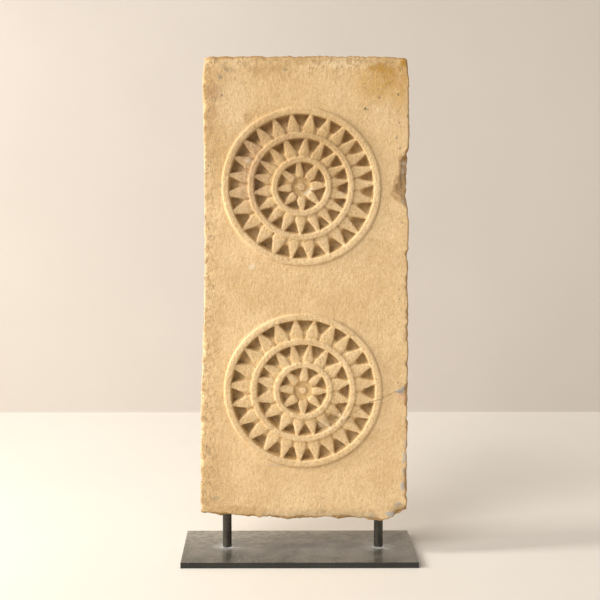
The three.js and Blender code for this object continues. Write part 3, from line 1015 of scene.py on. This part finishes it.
def newGroup(name, inputs, outputs):
    # A shader group with named sockets: inputs are name, kind and value, outputs are name and kind.
    tree = bpy.data.node_groups.new(name, "ShaderNodeTree")
    for socketName, kind, value in inputs:
        socket = tree.interface.new_socket(socketName, in_out="INPUT", socket_type="NodeSocket" + kind)
        if value is not None:
            socket.default_value = value
    for socketName, kind in outputs:
        tree.interface.new_socket(socketName, in_out="OUTPUT", socket_type="NodeSocket" + kind)
    given = {socket.name: Value(socket) for socket in tree.nodes.new("NodeGroupInput").outputs}
    return tree, given, tree.nodes.new("NodeGroupOutput").inputs


def useGroup(group, values):
    node = newNode("Group", *values.values())
    node.node_tree = group
    for name, value in values.items():
        feed(node.inputs[name], value)
    return {output.name: Value(output) for output in node.outputs}


# Noise of several sizes: a factor on the group's cloud or grain scale, detail and roughness.
# Levels: the noise at which a mask starts and is full.
grainValues = {
    "cloudScale": 16.0, "grainScale": 620.0, "drawn": (1.0, 1.0, 0.3), "apart": (0.31, 0.17, 0.53),
    "cloud": (1.0, 4.0, 0.6), "mottle": (7.5, 3.0, 0.6), "sand": (0.42, 3.0, 0.75), "grain": (1.0, 2.0, 0.7),
    "strokes": (0.8, 2.0, 0.6), "speck": (0.75, 1.0, 0.5),
    "levels": {"Cloud": (0.3, 0.7), "Mottle": (0.3, 0.7), "Sand": (0.45, 0.68), "Grain": (0.25, 0.75),
               "Strokes": (0.3, 0.7), "Speck": (0.54, 0.68), "Fleck": (0.46, 0.32)},
    "height": {"grain": 0.4, "strokes": 0.3, "sand": -0.9, "mottle": 0.5},
}


def makeGrainGroup(values):
    # Cloudy colour, sand and specks, and strokes of the tool from noise drawn out along z. The height is the
    # sum of the noises, each times its share.
    tree, given, out = newGroup("stoneGrain", (
        ("Place", "Vector", None), ("Cloud Scale", "Float", values["cloudScale"]),
        ("Grain Scale", "Float", values["grainScale"]),
    ), [(name, "Float") for name in (*values["levels"], "Height")])
    place = given["Place"]
    drawn, apart = vectorCalc("MULTIPLY", place, values["drawn"]), vectorCalc("ADD", place, values["apart"])
    noises = {}
    for name, at, scale in (
            ("cloud", place, "Cloud Scale"), ("mottle", place, "Cloud Scale"),
            ("sand", place, "Grain Scale"), ("grain", place, "Grain Scale"),
            ("strokes", drawn, "Grain Scale"), ("speck", apart, "Grain Scale")):
        factor, detail, roughness = values[name]
        noises[name] = noiseNode(at, given[scale] * factor, detail, roughness)
    noises["fleck"] = noises["speck"]
    for name, levels in values["levels"].items():
        feed(out[name], ramp(noises[name.lower()], *levels))
    height = 0.0
    for name, share in values["height"].items():
        height = noises[name] * share + height
    feed(out["Height"], height)
    return tree


def makePatchGroup():
    # A patch with a soft rim: the place's distance from the centre, counted in half sizes, is under one.
    tree, given, out = newGroup("patchMask", (
        ("Place", "Vector", None), ("Centre", "Vector", None), ("Half Size", "Vector", (0.01, 0.01, 0.01)),
        ("Softness", "Float", 0.3),
    ), (("Mask", "Float"),))
    away = vectorCalc("DIVIDE", vectorCalc("SUBTRACT", given["Place"], given["Centre"]), given["Half Size"])
    distance = vectorCalc("LENGTH", away, output="Value")
    softness = given["Softness"]
    feed(out["Mask"], ramp(distance, softness + 1.0, 1.0 - softness))
    return tree


def makePitGroup():
    # Scattered specks: near the middle of a random cell, where the cell's own number falls under the share.
    tree, given, out = newGroup("pitMask", (
        ("Place", "Vector", None), ("Cells", "Float", 150.0), ("Size", "Float", 0.25),
        ("Share", "Float", 0.3),
    ), (("Mask", "Float"),))
    cells = newNode("TexVoronoi", given["Place"])
    feed(cells.inputs["Vector"], given["Place"])
    feed(cells.inputs["Scale"], given["Cells"])
    near = ramp(Value(cells.outputs["Distance"]), given["Size"], given["Size"] * 0.4)
    cellNumber = parts(Value(cells.outputs["Color"]), "Color")[0]
    feed(out["Mask"], near * calc("LESS_THAN", cellNumber, given["Share"]))
    return tree


def makeWarpGroup():
    # Pushes places about by noise, so that a patch gets a ragged rim.
    tree, given, out = newGroup("raggedPlace", (
        ("Place", "Vector", None), ("Scale", "Float", 120.0), ("Amount", "Float", 0.006),
    ), (("Place", "Vector"),))
    push = vectorCalc("SUBTRACT", noiseNode(given["Place"], given["Scale"], 4.0, 0.7, "Color"),
                      (0.5, 0.5, 0.5))
    feed(out["Place"], vectorCalc("ADD", given["Place"], vectorCalc("MULTIPLY", push, given["Amount"])))
    return tree


steelNoise = {
    "cloud": (34.0, 5.0, 0.65), "brushed": (260.0, 4.0, 0.75), "fine": (300.0, 3.0, 0.75),
    "brushedDrawn": (0.35, 0.6, 1.0), "fineDrawn": (1.0, 0.5, 1.0), "brushedHeight": 0.5,
    "cloudLevels": (0.32, 0.68), "brushedLevels": (0.3, 0.7), "wornLevels": (0.58, 0.74),
}


def makeSteelGroup(values):
    # Waxed black skin: clouds, rubbing drawn out along x and specks where the wax has worn through.
    tree, given, out = newGroup("waxedSteel", (("Place", "Vector", None),), (
        ("Cloud", "Float"), ("Brushed", "Float"), ("Worn", "Float"), ("Height", "Float")))
    place = given["Place"]
    brushed = noiseNode(vectorCalc("MULTIPLY", place, values["brushedDrawn"]), *values["brushed"])
    fine = noiseNode(vectorCalc("MULTIPLY", place, values["fineDrawn"]), *values["fine"])
    feed(out["Cloud"], ramp(noiseNode(place, *values["cloud"]), *values["cloudLevels"]))
    feed(out["Brushed"], ramp(brushed, *values["brushedLevels"]))
    feed(out["Worn"], ramp(fine, *values["wornLevels"]))
    feed(out["Height"], brushed * values["brushedHeight"] + fine)
    return tree


effects = {"grain": makeGrainGroup(grainValues), "patch": makePatchGroup(), "pits": makePitGroup(),
           "ragged": makeWarpGroup(), "steel": makeSteelGroup(steelNoise)}


def ragged(place, scale, amount):
    return useGroup(effects["ragged"], {"Place": place, "Scale": scale, "Amount": amount})["Place"]


def patch(place, centre, half, softness):
    # Centre and half sizes are in millimetres.
    return useGroup(effects["patch"], {
        "Place": place, "Centre": tuple(value * mm for value in centre),
        "Half Size": tuple(value * mm for value in half), "Softness": softness,
    })["Mask"]


def pitted(place, cells, size, share):
    return useGroup(effects["pits"], {"Place": place, "Cells": cells, "Size": size, "Share": share})["Mask"]


# The stone's finish, with painted light and shade among its layers. Patches: x and z of the middle, half width
# and half height in mm, softness, strength.

stoneFinishAndPaintedLight = {
    "light": (0.80, 0.575, 0.315), "dark": (0.67, 0.450, 0.220), "sand": (0.88, 0.68, 0.42),
    # The warm bounce colour below is painted bounce light on slopes that are half sunk into the pockets.
    "worn": (0.95, 0.74, 0.45), "fresh": (0.78, 0.60, 0.37), "paintedBounceLight": (0.90, 0.62, 0.25),
    # The deep colour below is dirt in the hollows together with painted shade in them.
    "deep": (0.215, 0.175, 0.08), "side": (0.42, 0.31, 0.18), "grains": (0.55, 0.35, 0.155),
    # The rim colour below is painted shade on the right and foot arrises, and a brown line on the top arris.
    "speckLight": (0.94, 0.74, 0.44), "speckDark": (0.42, 0.26, 0.10), "rim": (0.42, 0.22, 0.065),
    "crack": (0.42, 0.28, 0.15), "pitColor": (0.17, 0.165, 0.155), "specular": 0.25, "bump": 0.0013,
    # How much of each layer shows. A pair is the mottling, or for grains and specks the rosettes' discs,
    # times the first number plus the second.
    "shares": {
        "sand": 0.28, "worn": (0.4, 0.22), "fresh": 0.6, "paintedBounceLight": 1.5, "deep": (0.6, 0.14), "deepPower": 1.6,
        # The side share is the strength of the painted shade over the sides.
        "side": 0.5, "stain": (1.1, 0.9), "grains": (0.22, 0.42), "speckLight": (0.16, 0.08),
        "speckDark": (0.20, 0.10), "grainTone": (0.12, 0.94), "strokeTone": (0.08, 0.96), "rim": (0.4, 0.55),
        "crack": 0.3, "rough": (0.12, 0.84),
    },
    # Height of the bump for the discs, specks, crack and mortar.
    "relief": {"disc": (0.5, 1.0), "specks": -0.8, "crack": -0.9, "mortar": 0.25},
    # Where the painted shade on the sides starts and is full, in mm from the panel's front and back.
    "sideShadeFront": (7.0, 18.0), "sideShadeBack": (1, 5),
    # Scale and reach of the push that makes ragged rims: for small patches, wide stains and specks.
    "warps": ((110.0, 0.010), (38.0, 0.030), (380.0, 0.0042)),
    # The discs of the rosettes, and where all patches lie along y, with their half size, in mm.
    "disc": (108, 108, 0.02, 1.0), "patchDepth": (-25, 14),
    "stains": (
        ((0.57, 0.33, 0.09), (
            (112, 662, 40, 30, 0.6, 0.42), (134, 640, 14, 26, 0.7, 0.35), (88, 640, 14, 26, 0.8, 0.2),
        )),
        ((0.48, 0.26, 0.05), (
            (114, 676, 18, 7, 0.5, 0.62), (122, 665, 10, 14, 0.6, 0.45), (141, 683, 6, 9, 0.5, 0.8),
            (141, 655, 5, 16, 0.6, 0.3),
        )),
        ((0.5, 0.315, 0.14), (
            (-112, 650, 30, 46, 0.7, 0.25), (-40, 672, 24, 9, 0.6, 0.42), (-29, 676, 11, 4, 0.5, 0.35),
            (-69.5, 608.5, 6.5, 6.5, 0.4, 0.6), (0, 690, 140, 7, 0.7, 0.4), (-118, 585, 18, 60, 0.8, 0.22),
            (-82, 66, 34, 7, 0.6, 0.4), (-120, 100, 22, 46, 0.8, 0.25), (-124, 661, 5, 7, 0.5, 0.5),
        )),
        ((0.46, 0.27, 0.15), (
            (-116, 644, 10, 9, 0.6, 0.6), (-117, 622, 6, 9, 0.6, 0.45), (-125, 600, 5, 20, 0.6, 0.3),
        )),
        ((0.55, 0.35, 0.14), (
            (-15, 575, 108, 52, 0.6, 0.45), (-60, 645, 90, 55, 0.7, 0.2),
        )),
        ((0.44, 0.27, 0.165), (
            (-66, 540, 26, 58, 0.5, 0.4), (-34, 590, 36, 20, 0.6, 0.3), (-4, 580, 30, 10, 0.6, 0.22),
            (3, 516, 97, 97, 0.1, 0.09),
        )),
        ((0.84, 0.66, 0.42), (
            (-90, 628, 18, 40, 0.95, 0.28), (-86, 684, 22, 7, 0.8, 0.3), (60, 684, 40, 6, 0.7, 0.35),
            (112, 618, 26, 16, 0.95, 0.2),
        )),
        ((0.44, 0.26, 0.12), (
            (136, 515, 10, 17, 0.4, 0.6), (143, 552, 8, 8, 0.4, 0.5), (141, 530, 7, 22, 0.5, 0.35),
        )),
        ((0.74, 0.42, 0.3), (
            (146, 226, 9, 8, 0.7, 0.3), (140, 600, 10, 12, 0.7, 0.1), (130, 660, 8, 8, 0.6, 0.1),
        )),
    ),
    "mortar": (
        ((0.46, 0.45, 0.42), (
            (139, 234, 7, 3.0, 0.3, 0.8), (146, 238, 5, 4.5, 0.3, 0.8), (145.5, 140, 2.2, 8, 0.3, 0.75),
            (146, 120, 2.0, 7, 0.3, 0.75), (145, 100, 3.0, 7, 0.3, 0.8), (128, 61, 7, 4.0, 0.3, 0.85),
            (100, 57, 3.0, 2.6, 0.3, 0.7), (139, 75, 4.5, 2.4, 0.3, 0.65), (147, 160, 1.8, 5, 0.4, 0.5),
            (-32, 131, 12, 1.8, 0.5, 0.3),
        )),
        ((0.25, 0.25, 0.185), (
            (-107, 517.5, 2.0, 3.2, 0.5, 0.6), (-107.4, 664.4, 3.6, 2.0, 0.5, 0.75),
            (-99.5, 674.5, 3.0, 2.8, 0.6, 0.5), (-92.5, 674.5, 2.6, 2.4, 0.6, 0.32),
            (-103, 681, 2.4, 2.0, 0.6, 0.4), (-20.7, 674.2, 2.2, 1.4, 0.5, 0.65),
            (-111, 579.5, 2.2, 1.8, 0.5, 0.5), (-117, 84, 4.5, 2.4, 0.6, 0.4), (-125, 148, 2.2, 3, 0.6, 0.4),
            (-116, 633, 1.8, 1.4, 0.5, 0.45),
        )),
        ((0.66, 0.55, 0.41), (
            (35, 186, 11, 7, 0.5, 0.35), (56, 198, 11, 7, 0.6, 0.2), (58, 509, 3, 6, 0.5, 0.3),
        )),
        ((0.74, 0.69, 0.6), (
            (8.5, 506.5, 3.2, 2, 0.5, 0.55), (12.5, 509.5, 3.2, 2, 0.5, 0.6),
            (16.5, 513, 2.8, 2.2, 0.5, 0.55), (-60, 520, 3, 2.4, 0.6, 0.3), (-70, 552, 3, 2.4, 0.6, 0.3),
        )),
        ((0.86, 0.8, 0.7), (
            (143, 548, 4, 2.4, 0.3, 0.8), (141, 537, 3, 4, 0.4, 0.55), (144, 497, 2.4, 2.6, 0.3, 0.85),
            (-65, 407, 4, 3, 0.6, 0.35),
        )),
    ),
    "pits": (
        (89.4, 621.8, 1.3, 1.5, 0.95), (93.0, 620.6, 1.6, 0.9, 0.55), (108.5, 637, 1.3, 1.1, 0.7),
        (136, 603, 1.4, 1.3, 0.55), (133, 582.5, 1.2, 1.5, 0.5), (137, 568, 1.3, 1.3, 0.5),
        (141, 467, 1.2, 1.2, 0.5), (134, 641, 1.1, 1.1, 0.7), (147.5, 612, 1.2, 2.6, 0.6),
        (138, 375, 1.1, 1.3, 0.4), (138, 362, 1.0, 1.3, 0.4), (140, 347, 1.0, 1.0, 0.4),
        (137, 246, 1.0, 1.2, 0.4), (86.3, 655.8, 4.0, 0.6, 0.3), (89.4, 649.6, 1.6, 1.0, 0.4),
        (107, 648, 1.2, 0.9, 0.4), (-105, 640, 1.1, 1.1, 0.8), (-113, 636, 1.0, 1.1, 0.5),
    ),
    "pitSoftness": 0.6,
    # The painted shade at the right arris and the foot, and the brown line at the top, start and are full at
    # these places, in mm across and up.
    "shadeRight": (140, 145), "shadeFoot": (74, 66), "brownLineTop": (684, 688),
    "grime": {"left": (-96.0, -138), "top": (650.0, 694), "noise": (130.0, 4.0, 0.7),
              "blotches": (0.46, 0.62),
              "strength": 0.72, "color": (0.44, 0.28, 0.13)},
    "scatter": {"strip": (-108.0, -128.0), "corners": ((-108, 660, 34, 34, 0.7, 0.6),
                                                       (-112, 100, 26, 50, 0.7, 0.5)),
                "stretch": (1.0, 1.0, 0.55), "pits": (330.0, 0.36, 0.34), "strength": 0.6,
                "onSides": (-0.8, 1.0),
                "sparse": (120.0, 0.14, 0.16), "sparseStrength": 0.4},
}



def patchesMask(place, patches):
    # The strongest of several patches on the carved face.
    faceY, halfY = stoneFinishAndPaintedLight["patchDepth"]
    total = 0.0
    for x, z, halfX, halfZ, softness, strength in patches:
        total = (patch(place, (x, faceY, z), (halfX, halfY, halfZ), softness) * strength).over(total)
    return total


def makeStoneMaterial():
    values = stoneFinishAndPaintedLight
    shares, relief, grimy, scatter = values["shares"], values["relief"], values["grime"], values["scatter"]
    material, shader, place = newMaterial("dressed_sandstone")
    grain = useGroup(effects["grain"], {"Place": place})
    mottle = grain["Mottle"]
    rim, wide, fine = (ragged(place, *warp) for warp in values["warps"])
    hollow, edge, broken, crack = (attribute(place, name) for name in ("hollow", "edge", "broken", "crack"))
    x, y, z = parts(place)
    low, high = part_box("stone_panel")
    start, full = (low[1] + depth * mm for depth in values["sideShadeFront"])
    end, clear = (high[1] - depth * mm for depth in values["sideShadeBack"])
    side = ramp(y, start, full) * ramp(y, end, clear)
    discs = patchesMask(rim, [(rosette["x"], rosette["z"], *values["disc"]) for rosette in rosettes])

    color = mixColor(grain["Cloud"], values["light"], values["dark"])
    for name, mask in (
            ("sand", mottle * shares["sand"]), ("worn", edge * swing(mottle, shares["worn"])),
            ("fresh", broken * shares["fresh"]),
            # painted bounce light, warm, on the slopes half way into a hollow
            ("paintedBounceLight", (hollow * (1.0 - hollow) * shares["paintedBounceLight"]).clamped()),
            # dirt and painted shade in the hollows, the creases and the heart
            ("deep", hollow ** shares["deepPower"] * swing(mottle, shares["deep"])),
            # painted shade over the sides
            ("side", side * shares["side"])):
        color = mixColor(mask, color, values[name])
    for stain, patches in values["stains"]:
        mask = patchesMask(wide, patches) * swing(mottle, shares["stain"])
        color = mixColor(mask.clamped(), color, stain)
    for name, speckle in (("grains", "Sand"), ("speckLight", "Speck"), ("speckDark", "Fleck")):
        color = mixColor(grain[speckle] * swing(discs, shares[name]), color, values[name])
    tone = swing(grain["Grain"], shares["grainTone"]) * swing(grain["Strokes"], shares["strokeTone"])
    color = mixColor(1.0, color, tone, "MULTIPLY")
    repaired = 0.0
    for mortar, patches in values["mortar"]:
        mask = patchesMask(rim, patches)
        repaired = mask.over(repaired)
        color = mixColor(mask, color, mortar)

    # Dark brown along the arrises: painted shade at the broken arris at the right and at the foot, and a brown
    # line at the top.
    arrisShadeAndTopLine = rampMm(x, values["shadeRight"]).over(rampMm(z, values["shadeFoot"])).over(rampMm(z, values["brownLineTop"]))
    color = mixColor(arrisShadeAndTopLine * edge * swing(mottle, shares["rim"]), color, values["rim"])

    # Brown grime in blotches near the left and top edges.
    wideX, _, wideZ = parts(wide)
    edges = rampMm(wideX, grimy["left"]).over(rampMm(wideZ, grimy["top"]))
    blotches = ramp(noiseNode(place, *grimy["noise"]), *grimy["blotches"])
    color = mixColor(edges * blotches * grimy["strength"], color, grimy["color"])

    # Dark specks: named ones, and a scatter along the left edge and over two corners.
    softness = values["pitSoftness"]
    named = patchesMask(fine, [(*pit[:4], softness, pit[4]) for pit in values["pits"]])
    region = rampMm(wideX, scatter["strip"]).over(patchesMask(wide, scatter["corners"]))
    scattered = pitted(vectorCalc("MULTIPLY", rim, scatter["stretch"]), *scatter["pits"])
    scattered = scattered * region * scatter["strength"] * swing(side, scatter["onSides"])
    sparse = pitted(rim, *scatter["sparse"]) * scatter["sparseStrength"]
    specks = named.over(scattered).over(sparse)
    color = mixColor(specks, color, values["pitColor"])
    color = mixColor(crack * shares["crack"], color, values["crack"])
    feed(shader.inputs["Base Color"], color)
    feed(shader.inputs["Roughness"], swing(mottle, shares["rough"]))
    shader.inputs["Specular IOR Level"].default_value = values["specular"]

    height = grain["Height"] * swing(discs, relief["disc"])
    height = height + specks * relief["specks"] + crack * relief["crack"] + repaired * relief["mortar"]
    bump(shader, height, values["bump"])
    return material


# The steel

steelFinish = {
    "post": {"dark": (0.040, 0.036, 0.028), "light": (0.080, 0.072, 0.054), "rough": 0.34, "spread": 0.16,
             "metal": 0.6, "coat": 0.3, "coatRough": 0.3, "worn": 0.3},
    "plate": {"dark": (0.050, 0.046, 0.035), "light": (0.125, 0.112, 0.086), "rough": 0.30, "spread": 0.2,
              "metal": 0.2, "coat": 0.75, "coatRough": 0.26, "worn": 0.55},
    "polished": (0.50, 0.50, 0.49), "bump": 0.00016, "brushedRough": 0.08,
}

# The plate: dust that thickens to the rear, together with a painted reflection that brightens the rear, a
# halo rubbed bright and a glint at each post's foot, painted shadow and reflections as smears without dust,
# and painted shade on the front face. Pairs are times the brushing, or the cloud, plus a number.
plateWearAndPaintedLight = {
    "warp": (140.0, 0.012), "halo": (19.0, 19.0, 19.0), "haloSoftness": 0.55, "haloShare": (0.8, 0.05),
    "haloSmooth": 0.1, "glint": (9.5, 12.0, 12.0), "glintForward": 3.5, "glintSoftness": 0.4,
    "glintShare": (0.9, 0.25), "glintMetal": -0.15, "bright": (0.85, 0.87, 0.9),
    # The dust colour also paints the reflection that brightens the plate to the rear.
    "dustAndReflection": (0.36, 0.33, 0.27), "rearDustAndReflection": (0.85, 0.04), "brushedDust": (1.3, 0.2), "wornDust": 0.3,
    "dustRough": 0.5, "top": 8, "shadowSmearDepth": 50,
    # Smears of painted shadow and reflection: the panel's in the middle, and the posts' in front of each post.
    "shadowAndReflectionSmears": ((28, -8, 68, 24, 0.6, 0.8), (-94, -46, 11, 24, 0.6, 0.6), (109, -46, 11, 24, 0.6, 0.6)),
    # Painted shade on the plate's front face: its colour, where it starts and is full, and how it lessens the
    # coat.
    "paintedFrontShade": (0.018, 0.017, 0.014), "frontShadeFrom": 0.5, "frontShadeFull": 0.1, "frontShadeCoat": (-0.6, 1.0),
    "cloudCoat": (0.7, 0.45),
}


def wearAndLightOnPlate(shader, place, steel, finish, color, rough, feet):
    # Puts the plate's wear and painted light over the steel's colour and roughness. Feet are the posts' axes in
    # millimetres.
    values, brushed = plateWearAndPaintedLight, steel["Brushed"]
    warped = ragged(place, *values["warp"])
    halo = glint = paintedShadowAndReflection = 0.0
    for x, y in feet:
        halo = patch(warped, (x, y, 0), values["halo"], values["haloSoftness"]).over(halo)
        glint = patch(place, (x, y - values["glintForward"], 0), values["glint"],
                      values["glintSoftness"]).over(glint)
    # painted shadow and reflections, as smears that take the dust off
    for x, y, halfX, halfY, softness, strength in values["shadowAndReflectionSmears"]:
        shadowSmear = patch(warped, (x, y, values["top"]), (halfX, halfY, values["shadowSmearDepth"]), softness)
        paintedShadowAndReflection = (shadowSmear * strength).over(paintedShadowAndReflection)
    depth = parts(place)[1]
    low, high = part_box("base_plate")
    # dust, thicker to the rear, with a painted reflection that brightens the rear
    dustAndReflection = swing(ramp(depth, low[1], high[1]), values["rearDustAndReflection"]) * swing(brushed, values["brushedDust"])
    dustAndReflection = (dustAndReflection + steel["Worn"] * values["wornDust"]) * (1.0 - paintedShadowAndReflection)
    glint = (glint * swing(brushed, values["glintShare"])).clamped()
    # painted shade on the plate's front face
    paintedFrontShade = ramp(depth, low[1] + values["frontShadeFrom"] * mm, low[1] + values["frontShadeFull"] * mm)
    color = mixColor(dustAndReflection, color, values["dustAndReflection"])
    color = mixColor(halo * swing(brushed, values["haloShare"]), color, steelFinish["polished"])
    color = mixColor(glint, color, values["bright"])
    color = mixColor(paintedFrontShade, color, values["paintedFrontShade"])
    rough = rough - halo * values["haloSmooth"] + dustAndReflection * values["dustRough"]
    feed(shader.inputs["Metallic"], swing(glint, (values["glintMetal"], finish["metal"])))
    coat = swing(steel["Cloud"], values["cloudCoat"]) * finish["coat"] * swing(paintedFrontShade, values["frontShadeCoat"])
    feed(shader.inputs["Coat Weight"], coat)
    return color, rough


def makeSteelMaterial(name, finish, feet=()):
    material, shader, place = newMaterial(name)
    steel = useGroup(effects["steel"], {"Place": place})
    color = mixColor(steel["Cloud"], finish["dark"], finish["light"])
    color = mixColor(steel["Worn"] * finish["worn"], color, steelFinish["polished"])
    rough = steel["Cloud"] * finish["spread"] + finish["rough"]
    if feet:
        color, rough = wearAndLightOnPlate(shader, place, steel, finish, color, rough, feet)
    else:
        shader.inputs["Coat Weight"].default_value = finish["coat"]
        shader.inputs["Metallic"].default_value = finish["metal"]
    feed(shader.inputs["Base Color"], color)
    feed(shader.inputs["Roughness"], rough + steel["Brushed"] * steelFinish["brushedRough"])
    shader.inputs["Coat Roughness"].default_value = finish["coatRough"]
    bump(shader, steel["Height"], steelFinish["bump"])
    return material


# The posts: a round bar, its profile turned about the axis, with a small bevel at both ends

postBar = {"sides": 64, "bevel": 0.5, "rows": 40, "hub": 0.02}


def makePost(node, name, material):
    low, high = (np.array(corner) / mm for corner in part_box(node))
    centre, radius = (low + high)[:2] / 2, (high - low)[0] / 2
    bevel, rows, sides, hub = (postBar[name] for name in ("bevel", "rows", "sides", "hub"))
    heights = np.concatenate(((low[2],) * 2, np.linspace(low[2] + bevel, high[2] - bevel, rows),
                              (high[2],) * 2))
    radii = np.concatenate(((hub, radius - bevel), np.full(rows, radius), (radius - bevel, hub)))
    turns = np.arange(sides) * 2 * math.pi / sides
    points = np.stack((
        centre[0] + radii[:, None] * np.cos(turns), centre[1] + radii[:, None] * np.sin(turns),
        np.broadcast_to(heights[:, None], (len(heights), sides)),
    ), axis=2).reshape(-1, 3)
    here = np.arange(sides)
    after = (here + 1) % sides
    start = np.arange(len(heights) - 1)[:, None] * sides
    quads = np.stack((start + here, start + after, start + sides + after, start + sides + here),
                     axis=2).reshape(-1, 4)
    firsts, quads, triangles = weld(points, quads, np.zeros((0, 3), int))
    mesh = makeMesh(name, points[firsts], quads, triangles)
    post = bpy.data.objects.new(name, mesh)
    bpy.context.scene.collection.objects.link(post)
    mesh.materials.append(material)
    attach(post, "root")
    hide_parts(node)


makeCamera(cameraPlace)
for lightName, lightValues in lights.items():
    makeLight(lightName, lightValues)
makeWorld(worldLight)
bpy.context.scene.view_settings.view_transform = "Standard"
makeFloor(floorValues)
print("camera, lights and floor made")

makeStone(makeStoneMaterial())
print("stone made")

postMaterial = makeSteelMaterial("blackened_bar", steelFinish["post"])
feet = []
for postNode, postName in (("post_left", "round_bar_left"), ("post_right", "round_bar_right")):
    makePost(postNode, postName, postMaterial)
    postLow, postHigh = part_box(postNode)
    feet.append(((postLow[0] + postHigh[0]) / 2 / mm, (postLow[1] + postHigh[1]) / 2 / mm))
plateSteel = makeSteelMaterial("waxed_plate", steelFinish["plate"], feet)
for plateSlot in bpy.data.objects["base_plate"].material_slots:
    plateSlot.material = plateSteel
print("posts and plate made")
